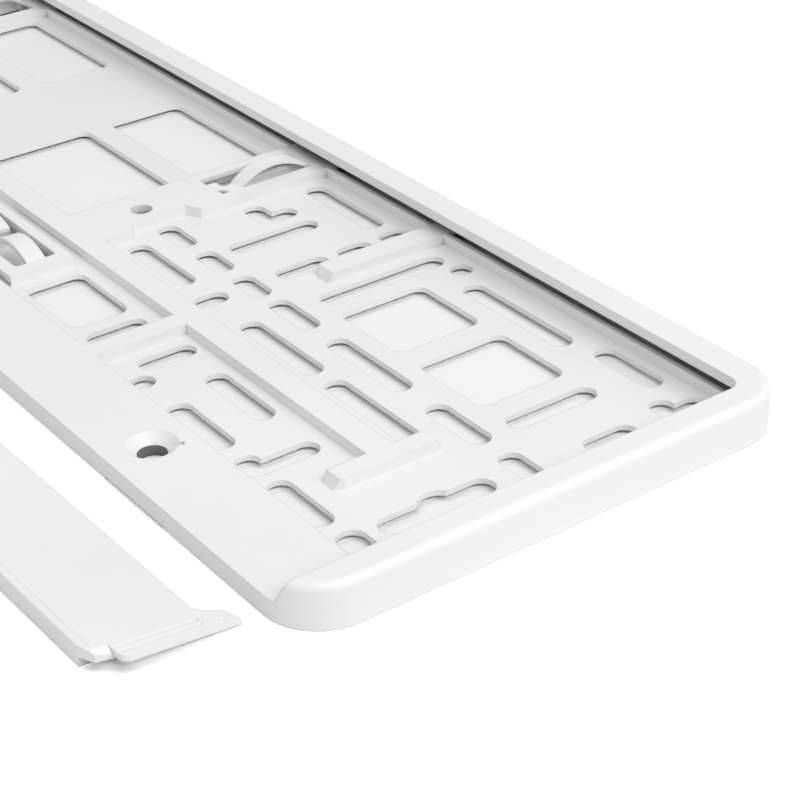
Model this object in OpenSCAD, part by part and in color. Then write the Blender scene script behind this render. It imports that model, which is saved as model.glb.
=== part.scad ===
// Number plate holder: a flat moulded carrier with a rim on three sides, and the
// clip-on cover strip for its open long side, lying loose in front of it.
// Millimetres, +Z up, the back of the carrier on z = 0. The origin lies on the back,
// midway between the two upper screw holes.

/* [Plate] */
// Length of the plate that the holder takes
plate_l = 520; // [516:1:524]
// Width of that plate
plate_w = 110; // [108:1:113]
// Room left beyond each end of the plate
plate_clear = 1.1; // [0.6:0.1:1.6]

/* [Rim] */
// Height of the rim over the back
rim_h = 11.2; // [10.6:0.1:12.5]
// Width of the rim's top on the short sides
rim_w = 7.4; // [6.8:0.1:9]
// Width of the lip that covers the plate's upper edge
lip_w = 9.1; // [8.2:0.1:10]
// Height of the slot under that lip
lip_gap = 3.46; // [2.6:0.1:4]
// How far the foot of a short rim stands in from its top edge
rim_draft = 2.9; // [2:0.1:3.4]
// Thickness of the outer wall
wall_t = 1.8; // [1.4:0.1:2.2]
// Rounding of the rim's outer top edge
top_r = 2; // [1:0.1:2.2]
// Corner radius at the lip, in plan
far_corner_r = 13; // [9:0.5:16]
// Corner radius at the open side, in plan
near_corner_r = 14; // [10:0.5:17]
// Radius of the rim's inner corners, in plan
inner_corner_r = 3.5; // [2:0.5:5]

/* [Web] */
// Height of the face that the plate lies on
main_z = 5.14; // [4.6:0.1:5.8]
// Depth of the pockets in that face
pocket_depth = 2.74; // [2.2:0.1:3]
// Thickness of the web
web_t = 1.4; // [1.1:0.1:1.6]
// Width of the raised band along the open side
front_band_w = 20.9; // [20:0.5:23]
// Width of the lower field of pockets
lower_field_w = 24.8; // [24:0.5:28]
// Width of the raised middle band
middle_band_w = 7.1; // [6:0.1:9]
// Width of the plain slots
slot_w = 6; // [5:0.1:6.4]

/* [Screw holes] */
// Diameter of the plain screw holes
screw_d = 5.9; // [4.5:0.1:6.5]
// Diameter of the countersunk screw holes
sunk_screw_d = 6.9; // [5:0.1:8]
// Outer diameter of the countersink
sink_d = 12.1; // [10:0.1:13]
// Distance of the upper screw holes from the middle
upper_screw_x = 83.65; // [82:0.1:85]
// Distance of the countersunk screw holes from the middle
sunk_screw_x = 190.95; // [180:0.5:200]

/* [Springs] */
// How high the upper leaf springs rise over the plate's bed
leaf_rise = 4.2; // [3:0.1:4.6]
// Width of an upper leaf spring
leaf_w = 4.6; // [4:0.1:5]
// How high the lower spring fingers rise over the plate's bed
finger_rise = 2.64; // [1.5:0.1:3.5]
// Width of a lower spring finger
finger_w = 5.4; // [4:0.1:7]
// Thickness of the springs
spring_t = 1.2; // [1:0.1:1.4]

/* [Cover strip] */
// Height of the strip's front wall
strip_h = 5.2; // [4.8:0.1:6.4]
// Thickness of that wall
strip_front_t = 1.7; // [1.4:0.1:2]
// Width of the strip, across its sloping face
strip_w = 25.8; // [23:0.2:28]
// Thickness of the face and of the end tabs
strip_face_t = 1.4; // [1.1:0.1:1.6]
// How far an end tab reaches past the face
tab_reach = 6.1; // [5:0.1:7]
// Gap between the strip and the carrier as they lie, at the middle
strip_gap = 15.4; // [12.6:0.2:30]
// How far the strip lies turned on the table, in degrees
strip_turn = 0.95; // [0:0.05:1]

/* [Hidden] */
$fn = 64;
eps = 0.01;
far = 40;

// Plan of the carrier, measured from the middle and from the web's open edge
skirt_y = -0.5;
plate_low_y = 19.7;
channel_y = plate_low_y + plate_w;
back_y = channel_y + wall_t;
lip_y = back_y - lip_w;
hollow_w = 4.7;
tongue_t = 1.4;
tongue_y = channel_y - hollow_w - tongue_t;
middle_low_y = front_band_w + lower_field_w;
middle_top_y = middle_low_y + middle_band_w;
bed_x = plate_l / 2 + plate_clear;
half_l = bed_x + rim_w;
foot_x = bed_x - rim_draft;

// Heights
pocket_z = main_z - pocket_depth;
low_roof_z = pocket_z - web_t;
high_roof_z = main_z - web_t;
lip_z = main_z + lip_gap;
rim_roof_z = rim_h - wall_t;
draft_slope = rim_draft / (rim_h - main_z);

// The origin's place on the plan
upper_screw_y = middle_top_y + 17.1;

// Raised parts of the web, on the right half
block_x = 74;
block_w = 19.8;
block_waist_w = 15.4;
block_foot_l = 10.9;
block_head_l = 11.3;
block_slant = 2;
low_block_x = 53;
low_block_w = 44;
low_block_y = 23.6;
low_block_l = 18.4;
bar_x = 141.4;
bar_w = 6.3;
rib_x = 141.4;
rib_w = 6.9;
rib_l = 36.2;
rib_slope = 1.4;
cross_rib_x = 224.2;
cross_rib_w = 5.4;
cross_rib_low_y = 34;
cross_rib_top_y = 62.6;
rib_corner = 2.2;

// Openings of the upper field, on the right half: slots and windows by their two ends
window_r = 3;
low_row_y = middle_top_y + 7;
low_row_slots = [[97.3, 125.5], [152.2, 184.2], [189.2, 222.6]];
next_row_y = middle_top_y + 18.7;
next_row_slots = [[92.3, 106.8], [111.8, 125.3], [130, 143.3], [147, 165.3], [172.8, 203.8], [213, 233.8]];
row_end_slot = [foot_x - 18.4, foot_x - 4.2];
middle_windows = [20.5, 73.5];
middle_window_l = 23.5;
middle_bar_w = 7.5;
end_windows = [[163.5, 188.8], [196, 221.3]];
window_low_y = next_row_y + 8.3;
window_top_y = tongue_y - 18.6;
lip_margin = 5.6;
middle_bar_y = tongue_y - lip_margin - middle_window_l - middle_bar_w;
high_corner_slot = [96.5, 106.1];
high_corner_share = [0.53, 0.36];
window_foot_gap = 1.7;
rim_slot_x = foot_x - 8.7;
rim_slot_share = [0.3, 0.43];
lip_corner_slot = [foot_x - 14.7, foot_x - 7.9];
lip_corner_gap = [11.6, 2.1];

// Slots across that field: place, room over the row below and room up to the tongue
cross_slots = [[116.1, 6.5, 18.6], [155, 9, lip_margin], [231, 8.3, 18.6]];
column_x = 136.2;
column_foot = [2.2, 11.5];
column_low_gap = 8;
column_top_gap = 2.6;
column_bar = 3.4;
column_shares = [0.45, 0.29, 0.26];

// Slots along the tongue: two ends and room up to the tongue
tongue_slots = [[97, 129.3, 7.6], [171.5, 211, 9.7], [217.5, 239, 5.8]];

// Openings of the lower field
low_field_row_y = front_band_w + 4.8;
low_field_row_slots = [[175.2, 199.3], [217.3, 238.8]];
low_field_high_y = front_band_w + 18.8;
low_field_high_slot = [168.8, 194.3];
low_field_window = [101.5, 128];
low_field_window_l = 16.4;
low_field_margin = 3.9;
low_field_cross_x = [135.5, 154.8];
low_corner_slot = [204.3, 210.7];
low_field_long_gap = [7.4, 2];
low_corner_l = 16.3;
end_slot = [foot_x - 15.4, foot_x - 3.7];
end_slot_y = front_band_w + 5.7;
end_slot_w = 7;
lobe_slot_x = foot_x - 11;
lobe_slot_w = 6.8;
lobe_slot_y = front_band_w + 12.1;
lobe_past_band = 10.2;
lobe_at = [foot_x - 11.9, front_band_w + 28.1];
lobe_r = 4.6;

// Springs
leaf_slot_x = 77.8;
leaf_slot_w = 11.8;
leaf_slot_l = 29.4;
leaf_slot_top = tongue_y - 2.6;
leaf_slot_low = leaf_slot_top - leaf_slot_l;
leaf_x = 86.6;
leaf_span = 23;
leaf_step_w = 7.8;
leaf_step_l = 2.9;
leaf_root_w = 4.1;
leaf_root_l = 7.4;
leaf_root_r = 1.2;
leaf_root_hole = [[0, 0.2], [3, 0.6], [3.1, 2.5], [1.1, 1.7]];
finger_slot_edge = 4.3;
finger_slot_w = 11.7;
finger_y = 33.2;
finger_span = 15.6;
finger_crest = 8.8;

// Screw holes
boss_wall = 2.1;
sink_depth = 2.5;
sunk_screw_y = 10.95;
key_w = 1.3;
key_l = 7.3;
key_angle = 55;
low_hole_x = 161.5;
low_hole_y = front_band_w + 4.6;
high_hole_x = 163.2;
high_hole_y = tongue_y - 5.5;

// Strip, from the foot of its front wall
strip_end_x = foot_x - 3.4;
strip_y = skirt_y - strip_gap - strip_w;
strip_top_r = 0.5;
bead_w = 1.56;
bead_groove_r = 0.4;
snap_h = 1.2;
snap_w = 0.7;
tab_w = 8.5;
strip_body_x = strip_end_x - tab_w;
tab_from = 5.2;
tab_tip_y = strip_w + tab_reach;
tab_lift = 0.1;
face_drop = (strip_h - strip_face_t - tab_lift) / tab_tip_y;
tab_round = 2.2;
flare_x = 0.9;
flare_w = 2.9;
flare_fillet = 3.4;
tip_slant = 1.1;
tab_groove_x = [4.2, 5.9];
tab_groove_r = 0.8;
tab_groove_depth = 0.15;
tab_dimple_r = 0.8;
dimple_from_body = 6.3;
lug_w = 4.7;
lug_corner = [3.7, 1.7];
lug_low_z = 2.3;
lug_round = 7;

// Rectangle with rounded corners, given by its four sides
module round_rect(x0, x1, y0, y1, r) {
    corner = min(r, min(x1 - x0, y1 - y0) / 2 - eps);
    translate([x0 + corner, y0])
        square([x1 - x0 - 2 * corner, y1 - y0]);
    translate([x0, y0 + corner])
        square([x1 - x0, y1 - y0 - 2 * corner]);
    for (x = [x0 + corner, x1 - corner])
        for (y = [y0 + corner, y1 - corner])
            translate([x, y])
                circle(r = corner);
}

// Plain rectangle, given by its four sides
module rect(x0, x1, y0, y1) {
    translate([x0, y0])
        square([x1 - x0, y1 - y0]);
}

// A child and its mirror image across the middle of the holder
module both_sides() {
    children();
    mirror([1, 0, 0])
        children();
}

// Outline of the carrier in plan, drawn in by the given distance
module footprint(inset) {
    far_r = far_corner_r - inset;
    near_r = near_corner_r - inset;
    x1 = half_l - inset;
    y0 = skirt_y + inset;
    y1 = back_y - inset;
    rect(-x1, x1, y0 + near_r, y1 - far_r);
    rect(-x1 + far_r, x1 - far_r, y0 + near_r, y1);
    rect(-x1 + near_r, x1 - near_r, y0, y1 - far_r);
    both_sides() {
        translate([x1 - far_r, y1 - far_r])
            circle(r = far_r);
        translate([x1 - near_r, y0 + near_r])
            circle(r = near_r);
    }
}

// Rounded top edge of one corner of the rim
module corner_edge(x, y, r) {
    translate([x, y, rim_h - top_r])
        rotate_extrude()
            translate([r - top_r, 0])
                circle(r = top_r);
}

// Outer block of the carrier, with the rim's top edge rounded all round
module block() {
    linear_extrude(rim_h - top_r)
        footprint(0);
    linear_extrude(rim_h)
        footprint(top_r);
    far_x = half_l - far_corner_r;
    far_y = back_y - far_corner_r;
    near_x = half_l - near_corner_r;
    near_y = skirt_y + near_corner_r;
    translate([-far_x, back_y - top_r, rim_h - top_r])
        rotate([0, 90, 0])
            cylinder(r = top_r, h = 2 * far_x);
    translate([-near_x, skirt_y + top_r, rim_h - top_r])
        rotate([0, 90, 0])
            cylinder(r = top_r, h = 2 * near_x);
    both_sides() {
        translate([half_l - top_r, near_y, rim_h - top_r])
            rotate([-90, 0, 0])
                cylinder(r = top_r, h = far_y - near_y);
        corner_edge(far_x, far_y, far_corner_r);
        corner_edge(near_x, near_y, near_corner_r);
    }
}

// Cross-section of the plate's bed between the drafted short rims
module bed_section() {
    top_x = bed_x + draft_slope * top_r;
    polygon([
        [-foot_x, main_z],
        [foot_x, main_z],
        [top_x, rim_h + top_r],
        [-top_x, rim_h + top_r]
    ]);
}

// Space over the web: the plate's bed, open to the front, and the slot under the lip
module bed_space() {
    intersection() {
        translate([0, channel_y, 0])
            rotate([90, 0, 0])
                linear_extrude(channel_y + far)
                    bed_section();
        union() {
            linear_extrude(rim_h + far) {
                round_rect(-bed_x - eps, bed_x + eps, skirt_y - eps, lip_y, inner_corner_r);
                rect(-foot_x + eps, foot_x - eps, -far, lip_y / 2);
            }
            linear_extrude(lip_z)
                rect(-bed_x, bed_x, lip_y / 2, channel_y + eps);
        }
    }
}

// Upper spring block in plan, with its waist, from the middle band to under the lip
module upper_block_plan() {
    edge_x = block_x + block_w;
    waist_x = block_x + block_waist_w;
    foot_y = middle_top_y + block_foot_l;
    head_y = leaf_slot_low - block_head_l;
    rect(block_x, waist_x, middle_top_y, channel_y);
    polygon([
        [block_x, middle_top_y - eps],
        [edge_x, middle_top_y - eps],
        [edge_x, foot_y - block_slant],
        [waist_x, foot_y],
        [block_x, foot_y]
    ]);
    polygon([
        [block_x, head_y],
        [waist_x, head_y],
        [edge_x, head_y + block_slant],
        [edge_x, channel_y],
        [block_x, channel_y]
    ]);
}

// Lower spring block in plan
module lower_block_plan() {
    rect(low_block_x, low_block_x + low_block_w, low_block_y, low_block_y + low_block_l);
}

// Rib that runs in under the lip, with a rounded end
module rib_plan() {
    round_rect(rib_x, rib_x + rib_w, tongue_y - rib_l, channel_y, rib_corner);
}

// Rib across the end of the middle band
module cross_rib_plan() {
    x1 = cross_rib_x + cross_rib_w;
    polygon([
        [cross_rib_x, cross_rib_low_y],
        [x1 - rib_corner / 2, cross_rib_low_y],
        [x1, cross_rib_low_y + rib_corner],
        [x1, cross_rib_top_y],
        [cross_rib_x, cross_rib_top_y]
    ]);
}

// Fields of the web that lie lower than the plate's bed
module pocket_plan() {
    rect(-foot_x + eps, foot_x - eps, middle_top_y, tongue_y);
    rect(-foot_x + eps, foot_x - eps, front_band_w, middle_low_y);
    both_sides()
        rect(cross_rib_x, foot_x - eps, middle_low_y - eps, middle_top_y + eps);
}

// Raised parts that stand in those fields
module island_plan() {
    both_sides() {
        upper_block_plan();
        lower_block_plan();
        rect(bar_x, bar_x + bar_w, front_band_w - eps, middle_low_y + eps);
        rib_plan();
        cross_rib_plan();
    }
}

// Space of the pockets
module pocket_space() {
    translate([0, 0, pocket_z])
        linear_extrude(pocket_depth + eps)
            difference() {
                pocket_plan();
                island_plan();
            }
}

// Sloped ends of the two ribs
module rib_slopes() {
    both_sides() {
        translate([rib_x - 1, tongue_y - rib_l, pocket_z])
            rib_end(rib_w + 2);
        translate([cross_rib_x - 1, cross_rib_low_y, pocket_z])
            rib_end(cross_rib_w + 2);
        translate([cross_rib_x - 1, cross_rib_top_y, pocket_z])
            mirror([0, 1, 0])
                rib_end(cross_rib_w + 2);
    }
}

// Wedge taken off the end of a rib
module rib_end(width) {
    rotate([90, 0, 90])
        linear_extrude(width)
            polygon([
                [-eps, eps],
                [rib_slope, pocket_depth + eps],
                [-eps, pocket_depth + eps]
            ]);
}

// Open space behind the tongue, under the lip, that the two ribs and blocks bridge
module lip_hollow() {
    difference() {
        translate([-foot_x + 1, channel_y - hollow_w, -far])
            cube([2 * foot_x - 2, hollow_w, far + main_z + eps]);
        translate([0, 0, high_roof_z])
            linear_extrude(web_t + 2 * eps)
                both_sides() {
                    rect(block_x, block_x + block_w, tongue_y, back_y);
                    rect(rib_x, rib_x + rib_w, tongue_y, back_y);
                }
    }
}

// Hollow inside a short rim, open to the back
module rim_hollow() {
    foot = foot_x + wall_t;
    top = foot + draft_slope * (rim_roof_z - main_z);
    intersection() {
        translate([0, back_y, 0])
            rotate([90, 0, 0])
                linear_extrude(back_y + far)
                    polygon([
                        [foot, -far],
                        [foot, main_z],
                        [top, rim_roof_z],
                        [half_l, rim_roof_z],
                        [half_l, -far]
                    ]);
        translate([0, 0, -far])
            linear_extrude(far + rim_h)
                footprint(wall_t);
    }
}

// Hollows under the raised parts of the web
module raised_hollows() {
    t = web_t;
    front_x = foot_x - t;
    rect(-front_x, front_x, skirt_y + wall_t, front_band_w - t);
    rect(-cross_rib_x - t, cross_rib_x + t, middle_low_y + t, middle_top_y - t);
    both_sides() {
        rect(block_x + t, block_x + block_waist_w - t, middle_top_y - 2 * t, channel_y - hollow_w);
        rect(low_block_x + t, low_block_x + low_block_w - t, low_block_y + t, low_block_y + low_block_l - t);
        rect(bar_x + t, bar_x + bar_w - t, front_band_w - 2 * t, middle_low_y + 2 * t);
        rect(rib_x + t, rib_x + rib_w - t, tongue_y - rib_l + 2 * t, channel_y - hollow_w);
        rect(cross_rib_x + t, cross_rib_x + cross_rib_w - t, cross_rib_low_y + 2 * t, cross_rib_top_y - 2 * t);
    }
}

// Everything hollow on the back, apart from the screw bosses
module back_space() {
    difference() {
        union() {
            translate([0, 0, -far])
                linear_extrude(far + low_roof_z)
                    footprint(wall_t);
            translate([0, 0, -far])
                linear_extrude(far + high_roof_z)
                    raised_hollows();
        }
        both_sides() {
            translate([upper_screw_x, upper_screw_y, 0])
                cylinder(d = screw_d + 2 * boss_wall, h = main_z);
            translate([sunk_screw_x, sunk_screw_y, 0])
                cylinder(d = sink_d + boss_wall, h = main_z);
        }
    }
    both_sides()
        rim_hollow();
    lip_hollow();
}

// Slot that runs along the holder
module x_slot(from_x, to_x, y, w = slot_w) {
    round_rect(from_x, to_x, y - w / 2, y + w / 2, w / 2);
}

// Slot that runs across the holder
module y_slot(x, from_y, to_y, w = slot_w) {
    round_rect(x - w / 2, x + w / 2, from_y, to_y, w / 2);
}

// Row of slots along the holder
module slot_row(slots, y) {
    for (slot = slots)
        x_slot(from_x = slot[0], to_x = slot[1], y = y);
}

// Angled slot: an arm along the holder and one across it, meeting at its corner
module corner_slot(from_x, x, y, to_y) {
    x_slot(from_x = from_x, to_x = x + slot_w / 2, y = y);
    y_slot(x = x, from_y = y - slot_w / 2, to_y = to_y);
}

// Sum of the first values of a list
function sum_of(values, count) = count == 0 ? 0 : values[count - 1] + sum_of(values, count - 1);

// Column of slots that share the stretch between two heights, with bars between them
module slot_column(x, from_y, to_y) {
    open_l = to_y - from_y - (len(column_shares) - 1) * column_bar;
    for (i = [0 : len(column_shares) - 1]) {
        y0 = from_y + open_l * sum_of(column_shares, i) + i * column_bar;
        y_slot(x = x, from_y = y0, to_y = y0 + open_l * column_shares[i]);
    }
}

// Slots and windows of the field between the middle band and the lip
module upper_openings() {
    // Two windows beside the middle, with a bar between them
    x0 = middle_windows[0];
    x1 = middle_windows[1];
    round_rect(x0, x1, middle_top_y + window_foot_gap, middle_bar_y, window_r);
    round_rect(x0, x1, middle_bar_y + middle_bar_w, tongue_y - lip_margin, window_r);

    // Two square windows near the end
    for (window = end_windows)
        round_rect(window[0], window[1], window_low_y, window_top_y, window_r);

    // Rows along the middle band, the upper one running to the short rim
    slot_row(low_row_slots, low_row_y);
    slot_row(next_row_slots, next_row_y);
    slot_row([row_end_slot], next_row_y);

    // Slots along the tongue
    for (slot = tongue_slots)
        x_slot(from_x = slot[0], to_x = slot[1], y = tongue_y - slot[2]);

    // Slots across the holder
    for (slot = cross_slots)
        y_slot(x = slot[0], from_y = next_row_y + slot[1], to_y = tongue_y - slot[2]);
    y_slot(x = column_x, from_y = middle_top_y + column_foot[0], to_y = middle_top_y + column_foot[1]);
    slot_column(column_x, next_row_y + column_low_gap, tongue_y - column_top_gap);

    // Slots whose ends share the room between the upper row and the tongue
    room = tongue_y - next_row_y;
    from_y = next_row_y + rim_slot_share[0] * room;
    y_slot(x = rim_slot_x, from_y = from_y, to_y = tongue_y - rim_slot_share[1] * room);
    arm_y = tongue_y - high_corner_share[0] * room;
    corner_slot(high_corner_slot[0], high_corner_slot[1], arm_y, tongue_y - high_corner_share[1] * room);

    // Angled slot in the corner under the lip
    lip_arm_y = tongue_y - lip_corner_gap[0];
    corner_slot(lip_corner_slot[0], lip_corner_slot[1], lip_arm_y, tongue_y - lip_corner_gap[1]);

    // Round hole
    translate([high_hole_x, high_hole_y])
        circle(d = screw_d);
}

// Slots and window of the field between the two bands
module lower_openings() {
    window_y = front_band_w + low_field_margin;
    round_rect(low_field_window[0], low_field_window[1], window_y, window_y + low_field_window_l, window_r);
    slot_row(low_field_row_slots, low_field_row_y);
    slot_row([low_field_high_slot], low_field_high_y);
    y_slot(x = low_field_cross_x[0], from_y = window_y, to_y = window_y + low_field_window_l);
    long_y = front_band_w + low_field_long_gap[0];
    y_slot(x = low_field_cross_x[1], from_y = long_y, to_y = middle_low_y - low_field_long_gap[1]);
    corner_slot(low_corner_slot[0], low_corner_slot[1], low_field_row_y, low_field_row_y + low_corner_l);

    // Wider slot at the short rim
    x_slot(from_x = end_slot[0], to_x = end_slot[1], y = end_slot_y, w = end_slot_w);

    // Slot with a round lobe, past the end of the middle band
    y_slot(x = lobe_slot_x, from_y = lobe_slot_y, to_y = middle_top_y + lobe_past_band, w = lobe_slot_w);
    translate(lobe_at)
        circle(r = lobe_r);

    // Round hole
    translate([low_hole_x, low_hole_y])
        circle(d = screw_d);
}

// All openings through the lowered web
module web_openings() {
    translate([0, 0, -far])
        linear_extrude(far + pocket_z + eps)
            both_sides() {
                upper_openings();
                lower_openings();
            }
}

// Screw holes through the bosses, two plain and two countersunk
module screw_holes() {
    both_sides() {
        translate([upper_screw_x, upper_screw_y, -1])
            cylinder(d = screw_d, h = main_z + 2);
        translate([sunk_screw_x, sunk_screw_y, 0]) {
            translate([0, 0, -1])
                cylinder(d = sunk_screw_d, h = main_z + 2);
            translate([0, 0, main_z - sink_depth])
                cylinder(d1 = sunk_screw_d, d2 = sink_d, h = sink_depth);
            translate([0, 0, main_z - eps])
                cylinder(d = sink_d, h = 1);
            rotate([0, 0, key_angle])
                translate([0, -key_w / 2, main_z - sink_depth / 2])
                    cube([key_l, key_w, sink_depth]);
        }
    }
}

// Step and root that the leaf spring rises from, in plan, with the hole at their corner
module leaf_root_plan() {
    edge_x = leaf_slot_x + leaf_slot_w + 1;
    root_x = edge_x - 1 - leaf_root_w;
    step_y = leaf_slot_low + leaf_step_l;
    difference() {
        union() {
            round_rect(edge_x - 1 - leaf_step_w, edge_x, leaf_slot_low - 2, step_y, 1);
            rect(root_x, edge_x, leaf_slot_low - 1, leaf_slot_low + leaf_root_l);
            rect(root_x - leaf_root_r, edge_x, leaf_slot_low, step_y + leaf_root_r);
        }
        translate([root_x - leaf_root_r, step_y + leaf_root_r])
            circle(r = leaf_root_r);
        translate([root_x + 1, leaf_slot_low])
            polygon(leaf_root_hole);
    }
}

// Slots around the springs
module spring_slots() {
    both_sides() {
        translate([0, 0, low_roof_z])
            linear_extrude(main_z) {
                difference() {
                    round_rect(leaf_slot_x, leaf_slot_x + leaf_slot_w, leaf_slot_low, leaf_slot_top, 1);
                    leaf_root_plan();
                }
                round_rect(low_block_x + finger_slot_edge,
                    low_block_x + low_block_w - finger_slot_edge,
                    finger_y - finger_slot_w / 2, finger_y + finger_slot_w / 2, 1);
            }
    }
}

// Section of an arched spring that rises over the bed, its crest at the origin's x
module arch_section(span, rise) {
    radius = (pow(span / 2, 2) + rise * rise) / (2 * rise);
    intersection() {
        difference() {
            translate([0, rise - radius])
                circle(r = radius, $fn = 160);
            translate([0, rise - radius])
                circle(r = radius - spring_t, $fn = 160);
        }
        translate([-span, -web_t])
            square([2 * span, web_t + rise + 1]);
    }
}

// Leaf spring in the upper block: an arch from its root to the far end of its slot
module leaf_spring() {
    translate([leaf_x - leaf_w / 2, leaf_slot_top - leaf_span / 2, main_z])
        rotate([90, 0, 90])
            linear_extrude(leaf_w)
                arch_section(leaf_span, leaf_rise);
}

// Arched spring finger in the lower block, with a free end
module finger_spring() {
    root_x = low_block_x + low_block_w - finger_slot_edge;
    crest_x = root_x - finger_crest;
    intersection() {
        translate([crest_x, finger_y + finger_w / 2, main_z])
            rotate([90, 0, 0])
                linear_extrude(finger_w)
                    arch_section(2 * finger_crest + 0.6, finger_rise);
        translate([root_x - finger_span, 0, 0])
            cube([finger_span + 1, channel_y, far]);
    }
}

// The pair of fingers in one lower block, facing each other
module finger_pair() {
    middle_x = low_block_x + low_block_w / 2;
    finger_spring();
    translate([2 * middle_x, 0, 0])
        mirror([1, 0, 0])
            finger_spring();
}

// Shallow relief under the foot of the open edge
module foot_relief() {
    relief_x = 189.8;
    relief_l = 25.1;
    relief_h = 0.35;
    both_sides()
        translate([relief_x, skirt_y - 1, -1])
            cube([relief_l, wall_t + 2, relief_h + 1]);
}

module carrier() {
    color("white")
        translate([0, -upper_screw_y, 0]) {
            difference() {
                block();
                bed_space();
                pocket_space();
                rib_slopes();
                back_space();
                web_openings();
                screw_holes();
                spring_slots();
                foot_relief();
            }
            both_sides() {
                leaf_spring();
                finger_pair();
            }
        }
}

// Outside of the strip in section: upright front, rounded edge, bead, groove and sloping face
module strip_outline() {
    end_y = tab_tip_y + 1;
    difference() {
        polygon([
            [0, 0],
            [end_y, 0],
            [end_y, strip_h - face_drop * end_y],
            [0, strip_h]
        ]);
        difference() {
            rect(-1, strip_top_r, strip_h - strip_top_r, strip_h + 1);
            translate([strip_top_r, strip_h - strip_top_r])
                circle(r = strip_top_r);
        }
        translate([bead_w, strip_h])
            circle(r = bead_groove_r);
    }
}

// Section of the strip: that outline, hollow below, with a snap rail along the foot
module strip_section() {
    end_y = tab_tip_y + 2;
    under_z = strip_h - strip_face_t;
    difference() {
        strip_outline();
        polygon([
            [strip_front_t, -1],
            [end_y, -1],
            [end_y, under_z - face_drop * end_y],
            [strip_front_t, under_z - face_drop * strip_front_t]
        ]);
    }
    rect(strip_front_t - eps, strip_front_t + snap_w, 0, snap_h);
}

// A section of the strip drawn out over its whole length
module along_strip() {
    translate([-strip_end_x - 1, 0, 0])
        rotate([90, 0, 90])
            linear_extrude(2 * strip_end_x + 2)
                children();
}

// End tab in plan: rounded at the front, flaring out past the face at the far end
module tab_plan() {
    corner_x = strip_body_x + flare_x;
    flare_top_y = tab_tip_y - tip_slant;
    flare_angle = atan2(flare_top_y - strip_w, flare_w);
    fillet_l = flare_fillet * tan(flare_angle / 2);
    round_rect(strip_body_x - 2 * tab_round, strip_end_x, tab_from, strip_w, tab_round);
    polygon([
        [strip_body_x - 1, strip_w / 2],
        [strip_end_x, strip_w / 2],
        [strip_end_x, tab_tip_y],
        [corner_x + flare_w, flare_top_y],
        [corner_x, strip_w],
        [strip_body_x - 1, strip_w]
    ]);
    difference() {
        polygon([
            [corner_x - fillet_l, strip_w],
            [corner_x + 1, strip_w - 1],
            [corner_x + fillet_l * cos(flare_angle), strip_w + fillet_l * sin(flare_angle)]
        ]);
        translate([corner_x - fillet_l, strip_w + flare_fillet])
            circle(r = flare_fillet);
    }
}

// Strip in plan: the long face with a tab at each end
module strip_plan() {
    rect(-strip_body_x, strip_body_x, -1, strip_w);
    both_sides()
        tab_plan();
}

// Lug between the front wall and the tab, falling away towards its end
module end_lug() {
    lug_l = tab_from + 0.5;
    intersection() {
        along_strip()
            strip_outline();
        translate([0, 0, lug_low_z])
            linear_extrude(strip_h)
                polygon([
                    [strip_body_x - 1, 0],
                    [strip_body_x, 0],
                    strip_body_x * [1, 0] + lug_corner,
                    [strip_body_x + lug_w, lug_l],
                    [strip_body_x - 1, lug_l]
                ]);
        translate([strip_body_x, -1, strip_h - lug_round])
            rotate([-90, 0, 0])
                cylinder(r = lug_round, h = lug_l + 2);
    }
}

// Two shallow grooves and a dimple on the face of an end tab
module tab_marks() {
    slope = atan(face_drop);
    for (x = tab_groove_x)
        translate([strip_body_x + x, 0, strip_h + tab_groove_r - tab_groove_depth])
            rotate([-90 - slope, 0, 0])
                translate([0, 0, tab_from - 1])
                    cylinder(r = tab_groove_r, h = strip_w - tab_from);
    dimple_x = strip_body_x + dimple_from_body;
    dimple_y = tab_tip_y - tab_reach / 2;
    translate([dimple_x, dimple_y, strip_h - face_drop * dimple_y + tab_dimple_r / 2])
        sphere(r = tab_dimple_r);
}

module cover_strip() {
    color("white")
        translate([0, strip_y - upper_screw_y, 0])
            rotate([0, 0, strip_turn]) {
                difference() {
                    intersection() {
                        along_strip()
                            strip_section();
                        translate([0, 0, -1])
                            linear_extrude(strip_h + 2)
                                strip_plan();
                    }
                    both_sides()
                        tab_marks();
                }
                both_sides()
                    end_lug();
            }
}

carrier();
cover_strip();
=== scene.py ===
"""Looks of the number plate holder: white moulded plastic on a plain pale floor."""

import math

import bpy
from mathutils import Matrix, Vector


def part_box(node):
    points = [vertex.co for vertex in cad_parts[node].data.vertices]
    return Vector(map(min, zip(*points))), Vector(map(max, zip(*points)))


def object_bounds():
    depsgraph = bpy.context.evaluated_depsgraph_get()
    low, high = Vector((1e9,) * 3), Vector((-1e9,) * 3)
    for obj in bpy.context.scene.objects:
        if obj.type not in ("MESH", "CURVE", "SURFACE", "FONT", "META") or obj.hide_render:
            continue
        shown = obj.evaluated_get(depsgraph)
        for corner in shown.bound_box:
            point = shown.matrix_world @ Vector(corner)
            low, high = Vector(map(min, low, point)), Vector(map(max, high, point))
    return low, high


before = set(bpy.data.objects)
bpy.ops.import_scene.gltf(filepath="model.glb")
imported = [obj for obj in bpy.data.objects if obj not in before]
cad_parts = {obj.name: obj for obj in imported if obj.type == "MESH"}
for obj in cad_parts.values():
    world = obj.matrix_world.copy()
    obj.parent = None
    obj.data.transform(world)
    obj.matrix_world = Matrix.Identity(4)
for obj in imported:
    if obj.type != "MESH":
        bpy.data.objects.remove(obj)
cad_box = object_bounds()

MM = 0.001

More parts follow.
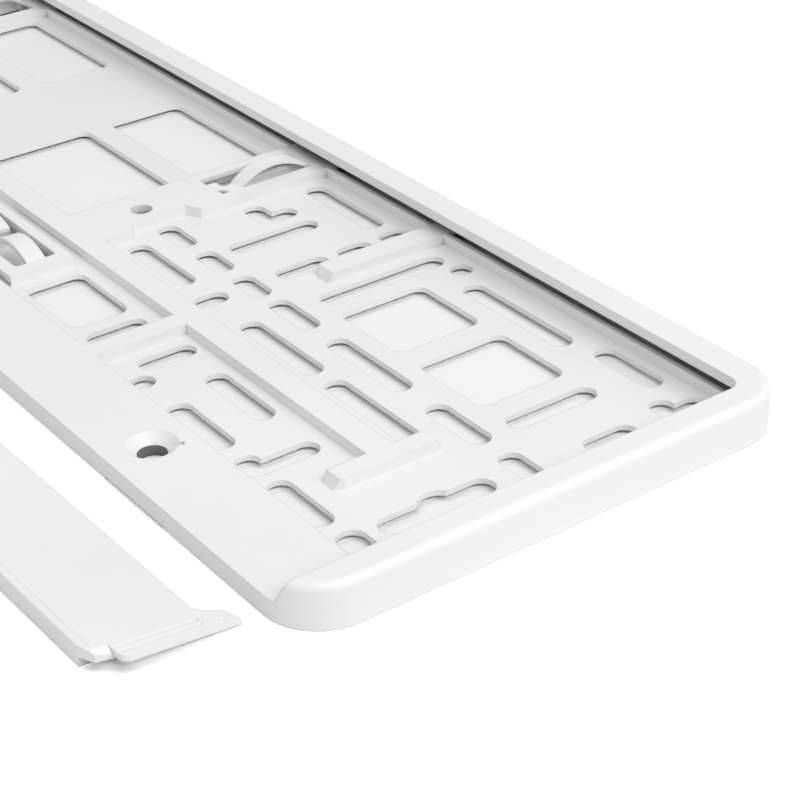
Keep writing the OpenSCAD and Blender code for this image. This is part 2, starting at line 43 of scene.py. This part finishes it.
# Camera, as solved from the photograph's straight edges, in the frame of the part
CAMERA_PLACE = Vector((554.7, -242.3, 252.1)) * MM
CAMERA_AZIMUTH = math.radians(145.43)
CAMERA_DOWN = math.radians(30.56)
CAMERA_ROLL = math.radians(-2.354)
LENS = 96.13
SENSOR = 36.0
CAMERA_REACH = 24.0

# Studio: soft light from all round, one large soft lamp from the right and above
SKY_LIGHT = 0.62
LAMP_SIZE = 1.1
LAMP_DISTANCE = 1.35
LAMP_AZIMUTH = math.radians(8.0)
LAMP_HEIGHT = math.radians(48.5)
LAMP_POWER = 10.0

# Noise: the middle stretch of its values that is spread out
NOISE_MIDDLE = (0.3, 0.7)

# Plastic: grey levels, gloss, and its three noises as scale and detail
PLASTIC_LEVELS = (0.79, 0.83)
PLASTIC_ROUGHNESS = (0.36, 0.46)
PLASTIC_IOR = 1.46
CLOUDS = (14.0, 3.0)
PATCHES = (45.0, 4.0)
GRAIN = (2200.0, 2.0)
GRAIN_STRENGTH = 0.12
GRAIN_DEPTH = 0.02 * MM
EDGE_ROUND = 0.5 * MM
EDGE_SAMPLES = 6

# Plastic in crevices, where shade is painted into its colour: its level there, how far it looks
# for what hides it, and where it darkens
PAINTED_CREVICE_SHADE = 0.02
CREVICE_REACH = 9 * MM
CREVICE_OPEN = (0.14, 0.23)
ROOM_SAMPLES = 12

# The two countersunk screw holes, whose bores get painted shade
BORE_X = 190.95 * MM
BORE_Y = -58.95 * MM
BORE_RADIUS = 3.5 * MM
BORE_PAINTED_SHADE = 0.2

# Floor: its half size, its drop below the part, and the border under the part's outline
FLOOR_HALF = 0.8
FLOOR_DROP = 0.02 * MM
FLOOR_BORDER = 6 * MM

# Floor as the camera sees it: around the part, beneath it, and with painted light that lifts
# the shade under its thin edges
FLOOR_WHITE = 1.3
FLOOR_UNDER = 0.87
PAINTED_FLOOR_LIFT = 2.2
FLOOR_REACH = 8 * MM
FLOOR_DEEP = (0.02, 0.1)
FLOOR_OPEN = (0.1, 0.36)

# Floor as every other ray meets it
FLOOR_BOUNCE = 0.86


def new_material(name):
    """An empty node material, with its node tree and its output node."""
    material = bpy.data.materials.new(name)
    material.use_nodes = True
    tree = material.node_tree
    tree.nodes.clear()
    output = tree.nodes.new("ShaderNodeOutputMaterial")
    return material, tree, output


def grey(level):
    """A grey colour of the given level."""
    return level, level, level, 1.0


def noise(tree, place, scale, detail):
    """A noise texture on the given coordinates."""
    node = tree.nodes.new("ShaderNodeTexNoise")
    node.inputs["Scale"].default_value = scale
    node.inputs["Detail"].default_value = detail
    tree.links.new(place, node.inputs["Vector"])
    return node.outputs["Fac"]


def spread(tree, value, low, high):
    """A noise value, its middle stretch spread over low to high."""
    node = tree.nodes.new("ShaderNodeMapRange")
    node.inputs["From Min"].default_value, node.inputs["From Max"].default_value = NOISE_MIDDLE
    node.inputs["To Min"].default_value = low
    node.inputs["To Max"].default_value = high
    tree.links.new(value, node.inputs["Value"])
    return node.outputs["Result"]


def room_around(tree, reach):
    """0 deep in a crevice and 1 in the open, by how much is hidden within the given reach."""
    node = tree.nodes.new("ShaderNodeAmbientOcclusion")
    node.samples = ROOM_SAMPLES
    node.inputs["Distance"].default_value = reach
    return node.outputs["AO"]


def step_up(tree, value, low, high):
    """0 up to the low value and 1 from the high value, with a smooth rise between them."""
    node = tree.nodes.new("ShaderNodeMapRange")
    node.interpolation_type = "SMOOTHSTEP"
    node.inputs["From Min"].default_value = low
    node.inputs["From Max"].default_value = high
    tree.links.new(value, node.inputs["Value"])
    return node.outputs["Result"]


def math_node(tree, operation, *values):
    """A math node on values that are links or plain numbers."""
    node = tree.nodes.new("ShaderNodeMath")
    node.operation = operation
    for socket, value in zip(node.inputs, values):
        if isinstance(value, (int, float)):
            socket.default_value = value
        else:
            tree.links.new(value, socket)
    return node.outputs["Value"]


def split_axes(tree, place):
    """The x, y and z of a place."""
    axes = tree.nodes.new("ShaderNodeSeparateXYZ")
    tree.links.new(place, axes.inputs["Vector"])
    return axes.outputs


def bore_shade(tree, place):
    """Painted shade: a low level in the bores of the countersunk screw holes, 1 everywhere
    else.
    """
    axes = split_axes(tree, place)
    across = math_node(tree, "SUBTRACT", math_node(tree, "ABSOLUTE", axes["X"]), BORE_X)
    along = math_node(tree, "SUBTRACT", axes["Y"], BORE_Y)
    squares = math_node(tree, "ADD", math_node(tree, "POWER", across, 2.0),
                        math_node(tree, "POWER", along, 2.0))
    outside = math_node(tree, "GREATER_THAN", squares, BORE_RADIUS ** 2)
    return math_node(tree, "MAXIMUM", outside, BORE_PAINTED_SHADE)


def white_plastic():
    """White satin plastic: faint cloudiness, a fine moulded grain, softly broken edges, and
    painted shade in crevices and in the screw bores.
    """
    material, tree, output = new_material("white_plastic")
    links = tree.links
    place = tree.nodes.new("ShaderNodeTexCoord").outputs["Object"]

    shader = tree.nodes.new("ShaderNodeBsdfPrincipled")
    shader.inputs["IOR"].default_value = PLASTIC_IOR
    links.new(shader.outputs["BSDF"], output.inputs["Surface"])

    colour = tree.nodes.new("ShaderNodeMix")
    colour.data_type = "RGBA"
    for name, level in zip("AB", PLASTIC_LEVELS):
        colour.inputs[name].default_value = grey(level)
    links.new(spread(tree, noise(tree, place, *CLOUDS), 0.0, 1.0), colour.inputs["Factor"])
    # Painted shade: the colour falls to a near-black level in crevices and in the screw bores
    painted_shade = tree.nodes.new("ShaderNodeMix")
    painted_shade.data_type = "RGBA"
    painted_shade.inputs["A"].default_value = grey(PAINTED_CREVICE_SHADE)
    links.new(colour.outputs["Result"], painted_shade.inputs["B"])
    out_of_crevice = step_up(tree, room_around(tree, CREVICE_REACH), *CREVICE_OPEN)
    outside_painted_shade = math_node(tree, "MULTIPLY", out_of_crevice, bore_shade(tree, place))
    links.new(outside_painted_shade, painted_shade.inputs["Factor"])
    links.new(painted_shade.outputs["Result"], shader.inputs["Base Color"])

    roughness = spread(tree, noise(tree, place, *PATCHES), *PLASTIC_ROUGHNESS)
    links.new(roughness, shader.inputs["Roughness"])

    edge = tree.nodes.new("ShaderNodeBevel")
    edge.samples = EDGE_SAMPLES
    edge.inputs["Radius"].default_value = EDGE_ROUND
    grain = tree.nodes.new("ShaderNodeBump")
    grain.inputs["Strength"].default_value = GRAIN_STRENGTH
    grain.inputs["Distance"].default_value = GRAIN_DEPTH
    links.new(noise(tree, place, *GRAIN), grain.inputs["Height"])
    links.new(edge.outputs["Normal"], grain.inputs["Normal"])
    links.new(grain.outputs["Normal"], shader.inputs["Normal"])
    return material


def under_part(tree, place):
    """1 on the floor beneath the carrier, 0 outside it, with a soft border."""
    axes = split_axes(tree, place)
    low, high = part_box("carrier")
    inside = None
    for axis, name in enumerate("XY"):
        middle = (low[axis] + high[axis]) / 2
        half = (high[axis] - low[axis]) / 2 - FLOOR_BORDER
        off = math_node(tree, "ABSOLUTE", math_node(tree, "SUBTRACT", axes[name], middle))
        room = math_node(tree, "DIVIDE", math_node(tree, "SUBTRACT", half, off), FLOOR_BORDER)
        room = math_node(tree, "MINIMUM", math_node(tree, "MAXIMUM", room, 0.0), 1.0)
        inside = room if inside is None else math_node(tree, "MULTIPLY", inside, room)
    return inside


def painted_light_under_edges(tree, place):
    """Painted light: more than 1 just under an edge, where the floor's shade is lifted, else 1.
    """
    room = room_around(tree, FLOOR_REACH)
    near_edge = math_node(tree, "MULTIPLY", step_up(tree, room, *FLOOR_DEEP),
                          math_node(tree, "SUBTRACT", 1.0, step_up(tree, room, *FLOOR_OPEN)))
    not_in_bore = math_node(tree, "GREATER_THAN", bore_shade(tree, place), BORE_PAINTED_SHADE)
    near_edge = math_node(tree, "MULTIPLY", near_edge, not_in_bore)
    return math_node(tree, "ADD", 1.0, math_node(tree, "MULTIPLY", near_edge, PAINTED_FLOOR_LIFT))


def floor_material():
    """Pale floor: for the camera white around the part, and with painted light that makes the
    shade under its thin edges less dark.
    """
    material, tree, output = new_material("floor")
    links = tree.links
    place = tree.nodes.new("ShaderNodeTexCoord").outputs["Object"]

    seen_level = math_node(tree, "ADD", FLOOR_WHITE, math_node(
        tree, "MULTIPLY", under_part(tree, place), FLOOR_UNDER - FLOOR_WHITE))
    seen = tree.nodes.new("ShaderNodeBsdfDiffuse")
    # Painted light: the floor's colour is raised where it lies half in shade under the part's
    # edges
    seen_level = math_node(tree, "MULTIPLY", seen_level, painted_light_under_edges(tree, place))
    links.new(seen_level, seen.inputs["Color"])
    bounce = tree.nodes.new("ShaderNodeBsdfDiffuse")
    bounce.inputs["Color"].default_value = grey(FLOOR_BOUNCE)

    rays = tree.nodes.new("ShaderNodeLightPath")
    choice = tree.nodes.new("ShaderNodeMixShader")
    links.new(rays.outputs["Is Camera Ray"], choice.inputs["Fac"])
    links.new(bounce.outputs["BSDF"], choice.inputs[1])
    links.new(seen.outputs["BSDF"], choice.inputs[2])
    links.new(choice.outputs["Shader"], output.inputs["Surface"])
    return material


def make_floor():
    """A large plain floor just under the part."""
    low = cad_box[0][2] - FLOOR_DROP
    mesh = bpy.data.meshes.new("floor")
    signs = ((-1, -1), (1, -1), (1, 1), (-1, 1))
    corners = [(x * FLOOR_HALF, y * FLOOR_HALF, low) for x, y in signs]
    mesh.from_pydata(corners, [], [(0, 1, 2, 3)])
    floor = bpy.data.objects.new("floor", mesh)
    floor.data.materials.append(floor_material())
    bpy.context.collection.objects.link(floor)


def make_world():
    """White backdrop for the camera and for reflections, softer light for everything else."""
    world = bpy.data.worlds.new("studio")
    bpy.context.scene.world = world
    world.use_nodes = True
    tree = world.node_tree
    tree.nodes.clear()
    links = tree.links
    output = tree.nodes.new("ShaderNodeOutputWorld")
    light = tree.nodes.new("ShaderNodeBackground")
    light.inputs["Strength"].default_value = SKY_LIGHT
    backdrop = tree.nodes.new("ShaderNodeBackground")
    backdrop.inputs["Strength"].default_value = 1.0
    for node in (light, backdrop):
        node.inputs["Color"].default_value = grey(1.0)
    rays = tree.nodes.new("ShaderNodeLightPath")
    seen = rays.outputs["Is Camera Ray"]
    for kind in ("Is Glossy Ray", "Is Transmission Ray"):
        seen = math_node(tree, "MAXIMUM", seen, rays.outputs[kind])
    choice = tree.nodes.new("ShaderNodeMixShader")
    links.new(seen, choice.inputs["Fac"])
    links.new(light.outputs["Background"], choice.inputs[1])
    links.new(backdrop.outputs["Background"], choice.inputs[2])
    links.new(choice.outputs["Shader"], output.inputs["Surface"])


def make_lamp():
    """One large soft lamp that looks at the middle of the part."""
    data = bpy.data.lights.new("soft_lamp", "AREA")
    data.shape = "SQUARE"
    data.size = LAMP_SIZE
    data.energy = LAMP_POWER
    lamp = bpy.data.objects.new("soft_lamp", data)
    flat = math.cos(LAMP_HEIGHT)
    way = Vector((
        math.cos(LAMP_AZIMUTH) * flat,
        math.sin(LAMP_AZIMUTH) * flat,
        math.sin(LAMP_HEIGHT),
    ))
    lamp.location = way * LAMP_DISTANCE
    lamp.rotation_euler = way.to_track_quat("Z", "Y").to_euler()
    bpy.context.collection.objects.link(lamp)


def make_camera():
    """The camera at the photograph's place, angle and lens."""
    data = bpy.data.cameras.new("camera")
    data.sensor_width = SENSOR
    data.lens = LENS
    data.clip_end = CAMERA_REACH
    camera = bpy.data.objects.new("camera", data)
    flat = math.cos(CAMERA_DOWN)
    forward = Vector((
        math.cos(CAMERA_AZIMUTH) * flat,
        math.sin(CAMERA_AZIMUTH) * flat,
        -math.sin(CAMERA_DOWN),
    ))
    right = forward.cross(Vector((0.0, 0.0, 1.0))).normalized()
    up = right.cross(forward)
    turn, lean = math.cos(CAMERA_ROLL), math.sin(CAMERA_ROLL)
    rolled_right = turn * right + lean * up
    rolled_up = turn * up - lean * right
    axes = Matrix((rolled_right, rolled_up, -forward)).transposed().to_4x4()
    camera.matrix_world = Matrix.Translation(CAMERA_PLACE) @ axes
    bpy.context.collection.objects.link(camera)
    bpy.context.scene.camera = camera


def dress_parts():
    """The plastic on both CAD solids."""
    plastic = white_plastic()
    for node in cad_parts.values():
        for slot in node.material_slots:
            slot.material = plastic


dress_parts()
make_floor()
make_world()
make_lamp()
make_camera()
bpy.context.scene.view_settings.view_transform = "Standard"
